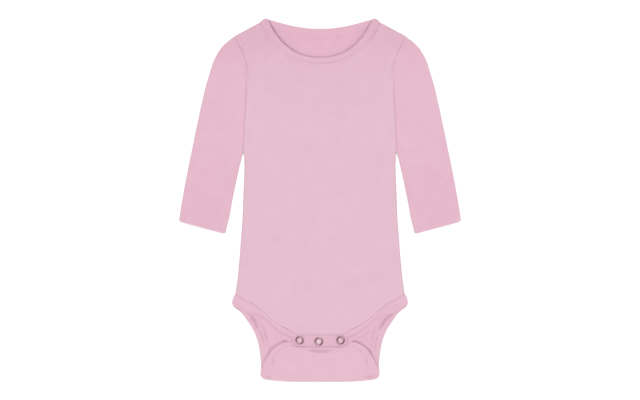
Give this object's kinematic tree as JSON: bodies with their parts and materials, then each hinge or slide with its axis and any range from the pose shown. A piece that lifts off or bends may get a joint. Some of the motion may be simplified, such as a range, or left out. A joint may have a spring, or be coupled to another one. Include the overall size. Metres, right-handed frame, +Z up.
{
  "type": "baby onesie",
  "caption": "Long-sleeved baby bodysuit in plain light knit, laid flat front up, with bound neck and leg openings and a crotch flap folded up and snapped under the front tab.",
  "frame": {"origin": "middle of the garment's footprint, on the surface it lies on", "axes": "+Z up from the surface, +Y from the snaps towards the neck, +X to the right as seen from above the front"},
  "size_m": [0.3332, 0.4289, 0.0083],
  "materials": {
    "knit": "fine soft single knit in pink, matt with a faint sheen",
    "knit_band": "the same knit doubled and stitched down as bands",
    "snap_metal": "bright nickel-coloured metal, polished"
  },
  "bodies": {
    "root": {"front_panel": "knit", "back_panel": "knit", "sleeve_left": "knit", "sleeve_right": "knit", "neckband": "knit_band", "leg_binding_left": "knit_band", "leg_binding_right": "knit_band", "front_placket": "knit_band", "snap_ring_1": "snap_metal", "snap_ring_2": "snap_metal", "snap_ring_3": "snap_metal", "snap_socket_1": "snap_metal", "snap_socket_2": "snap_metal", "snap_socket_3": "snap_metal", "snap_stud_1": "snap_metal", "snap_stud_2": "snap_metal", "snap_stud_3": "snap_metal", "snap_back_ring_1": "snap_metal", "snap_back_ring_2": "snap_metal", "snap_back_ring_3": "snap_metal"}
  },
  "joints": []
}
